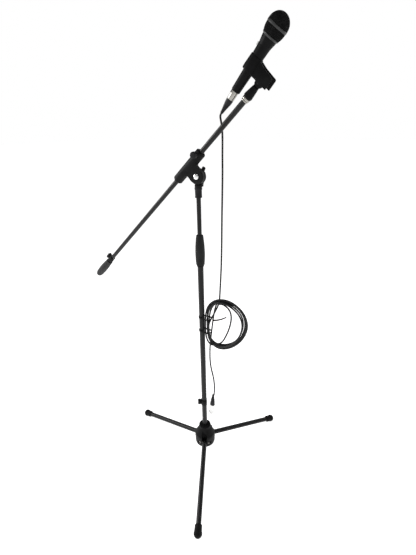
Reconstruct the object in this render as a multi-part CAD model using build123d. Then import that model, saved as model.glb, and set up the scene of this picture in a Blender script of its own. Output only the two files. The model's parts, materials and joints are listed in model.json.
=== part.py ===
"""Dynamic microphone in its spring clip, on a tripod boom stand, with its lead.

Millimetres, +Z up, origin on the floor under the column. The boom and the
microphone lie in the plane Y = 0, and the boom rises towards +X.
"""

import math
import os

from build123d import *

os.makedirs("parts", exist_ok=True)

# ---- driving dimensions -------------------------------------------------

# tripod
LEG_AZIMUTHS = (-63.4, 56.6, 176.6)
LEG_R, LEG_WALL = 9.5, 1.3
LEG_PIVOT_R, LEG_PIVOT_Z = 35.0, 82.0
FOOT_RING_R, FOOT_R = 341.7, 15.0
FOOT_CENTRE_Z = 14.0
HUB_R, HUB_BOTTOM, HUB_SHOULDER, HUB_TOP = 41.0, 58.0, 114.0, 151.0
COLLAR_R = 24.0
SLOT_HALF, SLOT_FLOOR = 10.3, 70.4
EAR_HALF = 18.0
RIVET_R = 3.0

# column
OUTER_R, OUTER_BORE = 10.0, 8.8
OUTER_BOTTOM, OUTER_TOP = 60.0, 903.0
RISER_R, RISER_BORE = 7.0, 5.7
RISER_BOTTOM, RISER_TOP = 430.0, 1106.0
GRIP_BOTTOM, GRIP_TOP = 872.0, 972.0
SOCKET_BOTTOM, SOCKET_TOP, NECK_TOP = 1089.5, 1119.0, 1128.0
CLIP_Z, CLIP_TURN = 274.0, 210.5

# tilt joint
PIVOT_Z = 1151.0
DISC_R = 22.5
PLATE_GAP = 0.15
PLATE_FACE = 11.0
BOLT_R = 4.0
WING_TURN = 66.0

# boom, measured along its axis from the point over the pivot
BOOM_TILT = 43.34
BOOM_OFFSET = 39.5
BOOM_R, BOOM_BORE = 7.3, 6.1
BOOM_FRONT, BOOM_REAR = 234.0, -630.0
SLEEVE_R, SLEEVE_FRONT, SLEEVE_REAR = 15.0, 55.0, -66.0
LINER_R, LINER_BORE = 9.4, 7.37
KNOB_T, KNOB_R = 44.0, 10.0
WEIGHT_FRONT, WEIGHT_REAR, WEIGHT_R = -547.0, -656.0, 14.6
BOOM_CLIP_T = -531.0
STEM_BASE, STEM_HINGE = 244.0, 286.0

# microphone, measured along its axis from the end of the handle
MIC_TILT = 50.2
MIC_X, MIC_Z = 118.0, 1363.2
HANDLE = ((0, 11.8), (45, 12.9), (92, 15.0), (112, 15.7), (120, 17.1), (126, 18.4), (131, 19.2))
HANDLE_WALL = 1.8
PLUG_BORE = 8.15
HEAD_R, HEAD_WALL = 25.7, 1.0
BAND_REAR, BAND_FRONT = 154.3, 159.3
SWITCH_U, SWITCH_TURN, SWITCH_SEAT = 108.0, 22.0, 15.9
PIN_R, PIN_CIRCLE = 1.2, 4.0

# clip, in the microphone's frame
JAW_REAR, JAW_FRONT = 52.0, 88.0
LEVER_FRONT = 79.0
# what is cut off the levers' front edge, which sweeps forward to the ring: (along the microphone, height)
LEVER_EDGE = ((74.5, -70), (74.5, -66.6), (77.6, -65.4), (78.9, -62.5), (79.2, -58), (82.2, -32), (85.5, -18),
              (95, -18), (95, -70))
EAR, TONGUE = 4.6, 2.0  # half widths of the tilt hinge's ears and tongue
JAW_WALL = 2.7
HINGE_W = -23.0
HINGE_R, HINGE_PIN_R = 5.2, 2.0

# lead
LEAD_R = 2.75
BOOT_END = -62.0
DROP = (
    (75.4, 0.0, 1312.1),
    (73.6, 1.5, 1306.3),
    (73.6, 6.0, 1296.0),
    (73.8, 12.5, 1277.0),
    (72.4, 17.0, 1248.0),
    (71.2, 18.5, 1212.0),
    (71.0, 20.0, 1160.0),
    (71.0, 18.5, 1098.0),
    (71.6, 15.0, 1026.0),
    (73.4, 11.0, 952.0),
    (73.0, 9.5, 884.0),
    (71.6, 6.5, 822.0),
    (70.6, 3.0, 772.0),
    (70.0, 1.0, 740.0),
)
TAIL = (
    (36.0, -6.0, 577.0),
    (33.4, -5.0, 536.0),
    (32.4, -3.5, 494.0),
    (36.4, -2.0, 455.0),
    (45.6, -2.0, 420.0),
    (49.6, -2.0, 383.0),
    (48.8, -2.0, 352.0),
)
FAR_TOP = Vector(46.8, -2.0, 331.0)
FAR_END = Vector(34.2, -2.0, 236.0)
COIL_HALF = 11.0
COIL_OUTER = ((14, 648), (26, 710), (58, 750), (106, 764), (156, 738), (177, 686), (158, 624), (112, 574),
              (66, 554),
              (27, 577))
COIL_INNER = ((38, 650), (48, 706), (70, 735), (104, 737), (138, 718), (148, 678), (132, 624), (104, 596),
              (64, 588),
              (43, 606))

PARTS = {}


# ---- small makers ---------------------------------------------------------


def rod(radius, low, high):
    """Cylinder about Z from low to high."""
    return Pos(0, 0, (low + high) / 2) * Cylinder(radius, high - low)


def tube(outer, inner, low, high):
    return rod(outer, low, high) - rod(inner, low - 1, high + 1)


def turned(*outline):
    """Solid of revolution about Z from (radius, height) corners."""
    corners = [(radius, 0, height) for radius, height in outline]
    return revolve(make_face(Polyline(*corners, close=True)), Axis.Z)


def block(x, y, z):
    """Box from three (low, high) pairs."""
    low, high = zip(x, y, z)
    size = [b - a for a, b in zip(low, high)]
    return Pos(*[(a + b) / 2 for a, b in zip(low, high)]) * Box(*size)


def beside(shape, count, start=0.0):
    """The same shape repeated round Z."""
    return [Rot(0, 0, start + 360 / count * i) * shape for i in range(count)]


def softened(shape, edges, radius):
    try:
        return fillet(edges, radius)
    except Exception:
        return shape


ALONG_X = Rot(0, 90, 0)
ALONG_Y = Rot(-90, 0, 0)
tilt = math.radians(BOOM_TILT)
BOOM = Pos(-BOOM_OFFSET * math.sin(tilt), 0, PIVOT_Z + BOOM_OFFSET * math.cos(tilt)) * Rot(0, -BOOM_TILT, 0)
MIC = Pos(MIC_X, 0, MIC_Z) * Rot(0, -MIC_TILT, 0)
STEM_AT = (MIC.inverse() * BOOM * Pos(STEM_HINGE, 0, 0)).position
STEM_U, STEM_W = STEM_AT.X, STEM_AT.Z


# ---- tripod ----------------------------------------------------------------


def hub():
    """Round cast body: skirt, cone and collar, with a radial slot for each leg."""
    body = turned((0, HUB_BOTTOM), (HUB_R - 4, HUB_BOTTOM), (HUB_R - 1, HUB_BOTTOM + 3),
                  (HUB_R, HUB_BOTTOM + 9),
                  (HUB_R, HUB_SHOULDER - 8), (HUB_R - 0.7, HUB_SHOULDER - 4.5),
                  (HUB_R - 2.6, HUB_SHOULDER - 1.5),
                  (COLLAR_R + 1.5, 137), (COLLAR_R, 140), (COLLAR_R, HUB_TOP - 2), (COLLAR_R - 2, HUB_TOP),
                  (0, HUB_TOP))
    body -= turned((14, 0), (HUB_R - 5, 0), (HUB_R - 5, 62), (18, 66.5), (14, 66.5))
    body -= rod(OUTER_R, 0, HUB_TOP + 1)
    slot = block((22, 60), (-SLOT_HALF, SLOT_HALF), (SLOT_FLOOR, HUB_TOP + 1))
    slot += block((HUB_R - 4, 60), (-SLOT_HALF, SLOT_HALF), (SLOT_FLOOR - 6, SLOT_FLOOR + 1))
    slot -= block((0, COLLAR_R + 0.8), (-30, 30), (93, HUB_TOP + 2))
    slot += Pos(LEG_PIVOT_R, 0, LEG_PIVOT_Z) * ALONG_Y * rod(RIVET_R, -30, 30)
    seat = Pos(LEG_PIVOT_R, 0, LEG_PIVOT_Z) * ALONG_Y * (rod(6.2, EAR_HALF, 40) + rod(6.2, -40, -EAR_HALF))
    for cut in beside(slot + seat, 3, LEG_AZIMUTHS[0]):
        body -= cut
    ribs = block((12, HUB_R - 4), (-1.5, 1.5), (HUB_BOTTOM + 3, 66))
    for rib in beside(ribs, 6, LEG_AZIMUTHS[0] + 30):
        body += rib - rod(OUTER_R, 0, 80)
    return body


def leg_rivets():
    shaft = rod(RIVET_R, -EAR_HALF, EAR_HALF)
    for side in (-1, 1):
        head = turned((0, EAR_HALF), (5, EAR_HALF), (4.2, EAR_HALF + 1.6), (0, EAR_HALF + 2.2))
        shaft += head if side > 0 else Rot(180, 0, 0) * head
    rivet = Pos(LEG_PIVOT_R, 0, LEG_PIVOT_Z) * ALONG_Y * shaft
    return Compound(children=beside(rivet, 3, LEG_AZIMUTHS[0]))


def leg_place(azimuth):
    return Rot(0, 0, azimuth) * Pos(LEG_PIVOT_R, 0, LEG_PIVOT_Z) * Rot(0, LEG_SLOPE, 0)


LEG_RUN = FOOT_RING_R - LEG_PIVOT_R
LEG_DROP = LEG_PIVOT_Z - FOOT_CENTRE_Z
LEG_LENGTH = math.hypot(LEG_RUN, LEG_DROP)
LEG_SLOPE = math.degrees(math.atan2(LEG_DROP, LEG_RUN))


def leg(azimuth):
    """Tube with a rounded, drilled knuckle at the rivet."""
    body = ALONG_X * (Sphere(LEG_R) + tube(LEG_R, LEG_R - LEG_WALL, 8, LEG_LENGTH - 2) + rod(LEG_R, 0, 12))
    body -= ALONG_Y * rod(RIVET_R + 0.06, -20, 20)
    return leg_place(azimuth) * body


def foot(azimuth):
    """Rubber boot with a bulb, worn flat where it stands."""
    start = LEG_LENGTH - 27
    outline = turned((0, start), (LEG_R + 1.4, start), (LEG_R + 3.4, start + 3.5),
                     (LEG_R + 4.0, LEG_LENGTH - 7),
                     (0, LEG_LENGTH - 7))
    body = ALONG_X * (outline + Pos(0, 0, LEG_LENGTH) * Sphere(FOOT_R) - rod(LEG_R, start - 1,
                                                                             LEG_LENGTH - 2))
    return leg_place(azimuth) * body - block((-400, 400), (-400, 400), (-60, 0))


# ---- column ----------------------------------------------------------------


def clutch_base():
    return turned((OUTER_R, 866), (11.4, 866), (12.4, 868), (12.4, 904), (OUTER_R, 904))


def clutch_collet():
    sleeve = turned((RISER_R + 0.08, 905), (11.4, 905), (11.4, 936), (8.2, 956), (RISER_R + 0.08, 956))
    for cut in beside(block((0, 20), (-0.7, 0.7), (914, 960)), 3):
        sleeve -= cut
    return sleeve


def clutch_grip():
    """Barrel-shaped nut over the collet."""
    low, high = GRIP_BOTTOM, GRIP_TOP
    side = Spline((14.2, 0, low + 1.8), (15.5, 0, low + 40), (14.4, 0, low + 68), (11.6, 0, high - 2))
    inner = Polyline((11.6, 0, high - 2), (10.2, 0, high), (RISER_R + 0.3, 0, high),
                     (RISER_R + 0.3, 0, high - 10),
                     (11.6, 0, high - 34), (12.7, 0, high - 36), (12.7, 0, low), (13.4, 0, low),
                     (14.2, 0, low + 1.8))
    return revolve(make_face(Curve() + side + inner), Axis.Z)


def cable_clip(bore):
    """Split ring round a tube, with a small open loop for the lead. It lies along Z, the loop towards +X."""
    grip = tube(bore + 2.7, bore, -12, 12)
    loop = Pos(bore + 8.8, 0, 0) * (tube(7.0, 4.2, -9, 9) - block((2, 9), (-2.6, 2.6), (-12, 12)))
    grip -= block((-bore - 9, -bore + 3), (-bore * 0.62, bore * 0.62), (-13, 13))
    return grip + (loop - rod(bore, -20, 20))


def coil_tie(z, reach):
    """Strap round the column and the near side of the coil."""
    with BuildSketch() as loop:
        with BuildLine():
            Polyline((-5, 12.9), (reach, 12.9), (reach + 2.5, 8), (reach + 2.5, -8), (reach, -12.9),
                     (-5, -12.9),
                     (-11.4, -5), (-11.4, 5), close=True)
        make_face()
        fillet(loop.vertices(), 2.4)
    face = loop.sketch.faces()[0]
    ring = extrude(face, 3.5, both=True) - extrude(offset(face, -1.0), 10, both=True)
    return Pos(0, 0, z) * ring


def riser_socket():
    body = turned((0, SOCKET_BOTTOM), (11.0, SOCKET_BOTTOM), (11.0, SOCKET_BOTTOM + 3),
                  (10.5, SOCKET_BOTTOM + 4),
                  (10.5, SOCKET_TOP - 8), (11.6, SOCKET_TOP - 5), (11.6, SOCKET_TOP - 1), (11.0, SOCKET_TOP),
                  (0, SOCKET_TOP))
    return body - rod(RISER_R, 0, RISER_TOP)


# ---- tilt joint --------------------------------------------------------------


def yoke():
    """Neck on the riser that carries the rear disc."""
    side = ((11, SOCKET_TOP + 2), (12, NECK_TOP), (14, NECK_TOP + 7), (17.5, PIVOT_Z - 10.3), (18, PIVOT_Z))
    flare = Plane.XZ * Polygon(*side, *[(-x, z) for x, z in reversed(side)], align=None)
    flare = extrude(flare, PLATE_FACE, dir=(0, 1, 0)) - block((-30, 30), (-5, PLATE_GAP), (0, 2000))
    neck = rod(11, SOCKET_TOP, NECK_TOP - 1.5) + flare
    disc = Pos(0, 0, PIVOT_Z) * ALONG_Y * turned((0, PLATE_GAP), (DISC_R, PLATE_GAP),
                                                 (DISC_R, PLATE_FACE - 2),
                                                 (DISC_R - 2, PLATE_FACE), (0, PLATE_FACE))
    return neck + disc - Pos(0, 0, PIVOT_Z) * ALONG_Y * rod(BOLT_R, -30, 30)


def boom_block():
    """Front disc, web and long sleeve in one casting."""
    plate = turned((0, -PLATE_FACE), (DISC_R - 2, -PLATE_FACE), (DISC_R, -PLATE_FACE + 2),
                   (DISC_R, -PLATE_GAP), (0, -PLATE_GAP))
    plate = Pos(0, 0, -BOOM_OFFSET) * ALONG_Y * plate
    web = block((-DISC_R, DISC_R), (-PLATE_FACE, -PLATE_GAP), (-BOOM_OFFSET, -8))
    flare = block((-26, 26), (-PLATE_FACE, -PLATE_GAP), (-17, -8))
    sleeve = ALONG_X * turned((0, SLEEVE_REAR), (SLEEVE_R - 4, SLEEVE_REAR), (SLEEVE_R, SLEEVE_REAR + 5),
                              (SLEEVE_R, SLEEVE_FRONT - 2), (SLEEVE_R - 2, SLEEVE_FRONT), (0, SLEEVE_FRONT))
    boss = Pos(KNOB_T, 0, 2) * ALONG_Y * rod(7.5, -18, -4)
    body = plate + web + flare + sleeve + boss
    body -= ALONG_X * rod(LINER_R, SLEEVE_REAR - 1, SLEEVE_FRONT + 1)
    body -= Pos(KNOB_T, 0, 2) * ALONG_Y * rod(3.06, -30, -4)
    body -= Pos(0, 0, -BOOM_OFFSET) * ALONG_Y * rod(BOLT_R + 0.05, -30, 30)
    return BOOM * body


def sleeve_liner():
    body = ALONG_X * tube(LINER_R, LINER_BORE, SLEEVE_REAR + 1, SLEEVE_FRONT - 1)
    return BOOM * (body - Pos(KNOB_T, 0, 2) * ALONG_Y * rod(3.3, -30, -2))


def pivot_bolt():
    head = turned((0, -15.6), (3, -15.4), (6.5, -14.2), (8.4, -12.4), (8.6, -PLATE_FACE), (0, -PLATE_FACE))
    return Pos(0, 0, PIVOT_Z) * ALONG_Y * (head + rod(BOLT_R, -PLATE_FACE - 1, 23))


def tilt_wing():
    """Wing nut behind the rear disc."""
    wing = block((5, 28), (-4.2, 4.2), (PLATE_FACE + 3, PLATE_FACE + 10)) & turned(
        (0, 0), (23, 0), (27.5, PLATE_FACE + 5), (27.5, PLATE_FACE + 8), (25, PLATE_FACE + 10),
        (0, PLATE_FACE + 10))
    nut = turned((0, PLATE_FACE + 0.3), (8, PLATE_FACE + 0.3), (8, PLATE_FACE + 6), (6.5, PLATE_FACE + 9),
                 (0, PLATE_FACE + 9))
    nut += wing + Rot(0, 0, 180) * wing
    nut -= rod(BOLT_R + 0.05, 0, 60)
    return Pos(0, 0, PIVOT_Z) * Rot(0, -WING_TURN, 0) * ALONG_Y * nut


def clamp_knob():
    """Fluted thumb knob whose stud presses on the boom."""
    head = turned((0, -32), (KNOB_R - 2.5, -32), (KNOB_R, -30), (KNOB_R, -21), (KNOB_R - 1.5, -18.4),
                  (0, -18.4))
    for flute in beside(Pos(KNOB_R + 1.2, 0, 0) * rod(2.2, -40, -10), 9):
        head -= flute
    return BOOM * Pos(KNOB_T, 0, 2) * ALONG_Y * (head + rod(3.0, -20, -BOOM_R - 0.8))


# ---- boom ----------------------------------------------------------------------


def boom_tube():
    return BOOM * ALONG_X * tube(BOOM_R, BOOM_BORE, BOOM_REAR, BOOM_FRONT)


def counterweight():
    front, rear = WEIGHT_FRONT, WEIGHT_REAR
    side = Spline((11.6, 0, front), (12.6, 0, front - 13), (WEIGHT_R, 0, front - 55), (13.0, 0, rear + 15),
                  (8.8, 0, rear + 3), (0, 0, rear), tangents=((0.2, 0, -1), (-1, 0, 0)))
    inner = Polyline((0, 0, rear), (0, 0, BOOM_REAR), (BOOM_R, 0, BOOM_REAR), (BOOM_R, 0, front),
                     (11.6, 0, front))
    return BOOM * ALONG_X * revolve(make_face(Curve() + side + inner), Axis.Z)


def boom_tip():
    """Plated insert with the flange and the thread that the clip screws on."""
    return BOOM * ALONG_X * turned((0, BOOM_FRONT - 16), (BOOM_BORE, BOOM_FRONT - 16),
                                   (BOOM_BORE, BOOM_FRONT),
                                   (9.2, BOOM_FRONT), (9.2, BOOM_FRONT + 3), (7.85, BOOM_FRONT + 3.4),
                                   (7.85, BOOM_FRONT + 25), (7, BOOM_FRONT + 26), (0, BOOM_FRONT + 26))


def lock_ring():
    low, high = BOOM_FRONT + 4.2, BOOM_FRONT + 9.6
    ring = turned((7.9, low), (9.8, low), (10.4, low + 0.8), (10.4, high - 0.8), (9.8, high), (7.9, high))
    for notch in beside(Pos(10.9, 0, 0) * rod(0.9, 230, 250), 18):
        ring -= notch
    return BOOM * ALONG_X * ring


# ---- clip ---------------------------------------------------------------------


def clip_stem():
    """Threaded socket that narrows upwards, then the tongue of the tilt hinge."""
    end = STEM_HINGE - 11.4
    body = turned((7.95, STEM_BASE), (10.6, STEM_BASE), (11.9, STEM_BASE + 3), (11.7, STEM_BASE + 6),
                  (9.5, STEM_BASE + 22), (8.6, end - 3), (8.0, end), (0, end), (0, 260.5), (7.95, 260.5))
    for groove in (9, 12, 15):
        body -= rod(14, STEM_BASE + groove, STEM_BASE + groove + 1) - rod(11.6 - groove * 0.09, 0, 400)
    tongue = block((end - 4, STEM_HINGE), (-TONGUE, TONGUE), (-7.6, 7.6))
    tongue += Pos(STEM_HINGE, 0, 0) * ALONG_Y * rod(10, -TONGUE, TONGUE)
    return BOOM * (ALONG_X * body + tongue - Pos(STEM_HINGE, 0, 0) * ALONG_Y * rod(2.55, -9, 9))


def tilt_screw():
    head = turned((0, -EAR - 2), (3.6, -EAR - 1.6), (4.4, -EAR), (0, -EAR))
    screw = rod(2.5, -EAR, EAR + 1.2) + head + rod(4.2, EAR, EAR + 1.2)
    return BOOM * Pos(STEM_HINGE, 0, 0) * ALONG_Y * screw


def clip_half(side, knuckles):
    """One jaw and its lever, drawn on the +Y side and mirrored for the other."""
    length = JAW_FRONT - JAW_REAR
    outer = 14.3 + JAW_WALL
    ring = ALONG_X * turned((outer + 0.2, JAW_REAR), (outer + 0.8, JAW_REAR + 3),
                            (outer + 0.7, JAW_REAR + 12),
                            (outer - 0.4, JAW_FRONT), (0, JAW_FRONT), (0, JAW_REAR))
    bore = ALONG_X * turned((13.5, JAW_REAR - 1), (13.5 + 0.0447 * (length + 2), JAW_FRONT + 1),
                            (0, JAW_FRONT + 1), (0, JAW_REAR - 1))
    ring -= bore
    ring -= block((0, 200), (-40, 0.6), (-40, 40)) + block((0, 200), (-4, 4), (0, 40))
    arm = Plane.YZ * Polygon((2.6, -14.4), (9.4, -11.6), (10.6, -23), (14.6, -64.5), (13.6, -66.4),
                             (12.1, -66), (8.0, -27), (5.8, -19), align=None)
    arm = Pos(JAW_REAR - 1, 0, 0) * extrude(arm, 35, dir=(1, 0, 0))
    arm -= extrude(Plane.XZ * Polygon(*LEVER_EDGE, align=None), 40, both=True)
    arm -= Pos(0, 0, HINGE_W) * ALONG_X * rod(HINGE_R + 0.3, 0, 200)
    half = ring + (arm - bore)
    for low, high in knuckles:
        half += block((low, high), (0, 8.6), (HINGE_W - 3.4, HINGE_W + 3.4))
        half += Pos(0, 0, HINGE_W) * ALONG_X * rod(HINGE_R, low, high)
    return half if side > 0 else mirror(half, Plane.XZ)


def jaw_fixed():
    """The half that the stem carries: its ears take the tilt screw."""
    half = clip_half(-1, ((JAW_REAR, 57), (74, LEVER_FRONT)))
    ears = block((STEM_U, 65), (-EAR, EAR), (STEM_W - 6, STEM_W + 6))
    ears += Pos(STEM_U, 0, STEM_W) * ALONG_Y * rod(10.8, -EAR, EAR)
    ears += block((60.5, 65), (-11.5, 0), (STEM_W - 6, STEM_W + 6))
    ears -= block((20, 60.5), (-TONGUE - 0.1, TONGUE + 0.1), (STEM_W - 30, STEM_W + 30))
    ears -= Pos(STEM_U, 0, STEM_W) * ALONG_Y * rod(2.56, -9, 9)
    return MIC * (half + ears - Pos(0, 0, HINGE_W) * ALONG_X * rod(HINGE_PIN_R, 40, 90))


def jaw_moving():
    half = clip_half(1, ((57.3, 62), (69, 73.7)))
    return MIC * (half - Pos(0, 0, HINGE_W) * ALONG_X * rod(HINGE_PIN_R + 0.05, 40, 90))


def clip_pin():
    return MIC * Pos(0, 0, HINGE_W) * ALONG_X * rod(HINGE_PIN_R, JAW_REAR, LEVER_FRONT)


def clip_spring():
    """Outer shape of the torsion spring's turns."""
    return MIC * Pos(0, 0, HINGE_W) * ALONG_X * tube(4.6, 2.6, 62.4, 68.6)


# ---- microphone ----------------------------------------------------------------


def switch_place():
    """Frame on the handle's side: X along the handle, Z outwards."""
    return Rot(SWITCH_TURN, 0, 0)


def mic_handle():
    outer = [(r, u) for u, r in HANDLE]
    inner = [(r - HANDLE_WALL, u) for u, r in HANDLE[1:]]
    body = turned((PLUG_BORE, 0), (HANDLE[0][1] - 1, 0), (HANDLE[0][1], 1.2), *outer[1:], *inner[::-1],
                  (10.9, 24), (PLUG_BORE, 23))
    body = ALONG_X * body
    pocket = block((SWITCH_U - 9, SWITCH_U + 8.5), (-4.6, 4.6), (SWITCH_SEAT, 30))
    pocket += block((SWITCH_U - 7.5, SWITCH_U + 3.5), (-2.0, 2.0), (8, 30))
    notch = block((-1, 9), (-3.4, 3.4), (7, 10.2))
    return MIC * (body - switch_place() * pocket - notch)


def mic_switch():
    knob = block((SWITCH_U - 4, SWITCH_U + 4), (-3.9, 3.9), (SWITCH_SEAT + 0.1, SWITCH_SEAT + 2.0))
    for k in range(3):
        knob += block((SWITCH_U - 2.9 + 2.2 * k, SWITCH_U - 1.5 + 2.2 * k), (-3.6, 3.6),
                      (SWITCH_SEAT + 1.9, SWITCH_SEAT + 2.7))
    knob += block((SWITCH_U - 2.4, SWITCH_U + 2.4), (-1.6, 1.6), (12.3, SWITCH_SEAT + 1))
    return MIC * switch_place() * knob


def switch_body():
    """Slide switch under the slot, with the slider's channel in its top."""
    body = block((SWITCH_U - 10, SWITCH_U + 6), (-4, 4), (6.6, 12.9))
    return MIC * switch_place() * (body - block((SWITCH_U - 7.2, SWITCH_U + 3.2), (-1.9, 1.9), (11.9, 14)))


def mic_neck_ring():
    return MIC * ALONG_X * turned((15.2, 131), (19.3, 131), (21.8, 134.2), (21.8, 135.6), (19.6, 135.6),
                                  (16.6, 132.6),
                                  (15.2, 132.6))


def grille_lower():
    curve = Spline((21.6, 0, 135.7), (24.7, 0, 145), (25.4, 0, BAND_REAR))
    inner = Spline((20.6, 0, 135.7), (23.7, 0, 145), (24.4, 0, BAND_REAR))
    ends = Line(curve @ 0, inner @ 0) + Line(curve @ 1, inner @ 1)
    return MIC * ALONG_X * revolve(make_face(curve + inner + ends), Axis.Z)


def grille_band():
    return MIC * ALONG_X * turned((23.6, BAND_REAR), (25.8, BAND_REAR), (26.2, BAND_REAR + 1),
                                  (26.2, BAND_FRONT - 1),
                                  (25.8, BAND_FRONT), (23.6, BAND_FRONT))


def grille_dome():
    ball = Sphere(HEAD_R) - Sphere(HEAD_R - HEAD_WALL)
    return MIC * Pos(BAND_FRONT, 0, 0) * (ball - block((-60, 0), (-60, 60), (-60, 60)))


def head_foam():
    """Pop foam that lines the dome."""
    outer, inner = [CenterArc((0, 0), r, 1, 89) for r in (HEAD_R - HEAD_WALL - 0.2, HEAD_R - HEAD_WALL - 4)]
    ends = Line(outer @ 0, inner @ 0) + Line(outer @ 1, inner @ 1)
    lining = revolve(Plane.XZ * make_face(outer + inner + ends), Axis.Z)
    return MIC * Pos(BAND_FRONT, 0, 0) * ALONG_X * lining


def capsule_mount():
    """Rubber ring that carries the capsule in the handle's mouth."""
    return MIC * ALONG_X * turned((9, 121), (14.6, 121), (15.1, 125), (15.1, 139), (12, 143), (9, 143))


def capsule_case():
    cup = turned((8.9, 126), (8.9, 144), (13.8, 146), (13.8, 163), (12.4, 163), (12.4, 148), (6, 146),
                 (6, 126))
    return MIC * ALONG_X * cup


def capsule_magnet():
    return MIC * ALONG_X * (rod(5.9, 134, 152) + turned((0, 152), (11, 152), (11, 155), (0, 155)))


def diaphragm():
    """Domed film with its surround, and the voice coil's former bonded behind it."""
    dome = Pos(0, 0, 151) * (Sphere(11.2) - Sphere(11.0)) - rod(30, 100, 159.4)
    return MIC * ALONG_X * (dome + tube(12.3, 7.0, 159.3, 159.6) + tube(8.2, 7.4, 155.4, 159.4))


def capsule_cover():
    cover = turned((0, 163.1), (13.8, 163.1), (13.8, 164.3), (0, 164.3))
    for hole in [rod(2.0, 160, 170)] + beside(Pos(7.6, 0, 0) * rod(1.7, 160, 170), 6):
        cover -= hole
    return MIC * ALONG_X * cover


def pins(low, high):
    pin = Pos(PIN_CIRCLE, 0, 0) * (rod(PIN_R, low, high - 1) + turned((0, high - 1.2), (PIN_R, high - 1.2),
                                                                      (0.6, high), (0, high)))
    return Compound(children=beside(pin, 3, 30))


def mic_insert():
    body = rod(PLUG_BORE, 15.5, 22.5)
    for hole in beside(Pos(PIN_CIRCLE, 0, 0) * rod(PIN_R, 0, 40), 3, -30):
        body -= hole
    return MIC * ALONG_X * body


def mic_pins():
    return MIC * ALONG_X * Rot(180, 0, 0) * pins(-26, -2.4)


# ---- lead: plug on the microphone -----------------------------------------------


def near_shell():
    """Socket connector: nose inside the handle, plated barrel outside it."""
    body = turned((7.6, -22), (9.2, -22), (9.5, -21.4), (9.5, -0.6), (9.1, -0.1), (8.05, -0.1), (8.05, 14),
                  (7.6, 14.4),
                  (7.0, 14.4), (7.0, -2), (7.6, -4))
    window = block((-9.4, 8), (-2.7, 2.7), (5, 12))
    return MIC * (ALONG_X * body - window)


def near_latch():
    """Release tab over its spring tongue."""
    tab = block((-9, -1.2), (-2.5, 2.5), (7.7, 10.4)) + block((-9, 7.6), (-1.6, 1.6), (7.2, 7.9))
    return MIC * tab


def near_insert():
    body = rod(6.95, -12, 14.2)
    for hole in beside(Pos(PIN_CIRCLE, 0, 0) * rod(PIN_R + 0.1, 1, 30), 3, -30):
        body -= hole
    return MIC * (ALONG_X * body - block((-13, 9), (-1.9, 1.9), (6.2, 8)))


def near_boot():
    body = turned((LEAD_R, BOOT_END), (3.9, BOOT_END), (5.6, -50), (8.2, -34), (9.3, -23), (9.3, -22.1),
                  (LEAD_R, -22.1))
    return MIC * ALONG_X * body


# ---- lead: cord -----------------------------------------------------------------


def corner_radii(points):
    """Each corner's arc is as large as its two runs allow."""
    radii = []
    for a, b, c in zip(points, points[1:], points[2:]):
        turn = (b - a).get_angle(c - b)
        radii.append(0.45 * min((b - a).length, (c - b).length) / math.tan(math.radians(turn / 2)))
    return radii


def cord_tube(name, points):
    points = [Vector(*p) for p in points]
    radii = corner_radii(points)
    path = FilletPolyline(*points, radius=radii)
    body = sweep(Plane(origin=path @ 0, z_dir=path % 0) * Circle(LEAD_R), path)
    volume = math.pi * LEAD_R**2 * path.length
    share = body.volume / volume
    print(f"{name}: length {path.length:.0f}, volume {share:.4f} of section x length, radii",
          [round(r) for r in radii])
    return body


def lead_drop():
    start = (MIC * Pos(BOOT_END, 0, 0)).position
    return cord_tube("lead_drop", [tuple(start), *DROP])


def lead_coil():
    """Outer shape of the hung coil."""
    flat = [[(x, 0, z) for x, z in ring] for ring in (COIL_OUTER, COIL_INNER)]
    outer, inner = [make_face(Spline(*ring, periodic=True)) for ring in flat]
    ring = extrude(outer, COIL_HALF, dir=(0, 1, 0), both=True)
    ring -= extrude(inner, COIL_HALF + 1, dir=(0, 1, 0), both=True)
    return softened(ring, [e for e in ring.edges() if abs(abs(e.center().Y) - COIL_HALF) < 0.5], 5)


def lead_tail():
    return cord_tube("lead_tail", [*TAIL, tuple(FAR_TOP)])


# ---- lead: far plug ----------------------------------------------------------------

FAR_LENGTH = (FAR_END - FAR_TOP).length
FAR = Plane(origin=FAR_TOP, z_dir=FAR_END - FAR_TOP, x_dir=(0, 1, 0)).location


def far_boot():
    return FAR * turned((LEAD_R, 0.1), (3.8, 0.1), (5.4, 12), (8.8, 28), (9.8, 40), (9.8, 50), (LEAD_R, 50))


def far_shell():
    end = FAR_LENGTH
    return FAR * turned((7, 50.1), (9.1, 50.1), (9.4, 51), (9.4, end - 0.6), (9.0, end), (8.2, end),
                        (8.2, 76), (7, 75.5))


def far_insert():
    body = rod(8.15, 76.1, 80) + rod(6.9, 64, 76.2) - rod(2.6, 60, 70)
    for hole in beside(Pos(PIN_CIRCLE, 0, 0) * rod(PIN_R, 60, 90), 3, 30):
        body -= hole
    return FAR * body


def far_pins():
    return FAR * pins(70, 93)


# ---- assembly ---------------------------------------------------------------------

PARTS["hub"] = hub()
PARTS["leg_rivets"] = leg_rivets()
for i, azimuth in enumerate(LEG_AZIMUTHS, 1):
    PARTS[f"leg_{i}"] = leg(azimuth)
    PARTS[f"foot_{i}"] = foot(azimuth)
PARTS["outer_tube"] = tube(OUTER_R, OUTER_BORE, OUTER_BOTTOM, OUTER_TOP)
PARTS["clutch_base"] = clutch_base()
PARTS["clutch_collet"] = clutch_collet()
PARTS["clutch_grip"] = clutch_grip()
PARTS["column_clip"] = Pos(0, 0, CLIP_Z) * Rot(0, 0, CLIP_TURN) * cable_clip(OUTER_R)
PARTS["coil_ties"] = Compound(children=[coil_tie(672, 42), coil_tie(618, 42)])
PARTS["riser_tube"] = tube(RISER_R, RISER_BORE, RISER_BOTTOM, RISER_TOP)
PARTS["riser_bush"] = tube(OUTER_BORE - 0.08, RISER_R, RISER_BOTTOM, RISER_BOTTOM + 22)
PARTS["riser_socket"] = riser_socket()
PARTS["yoke"] = yoke()
PARTS["boom_block"] = boom_block()
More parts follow.
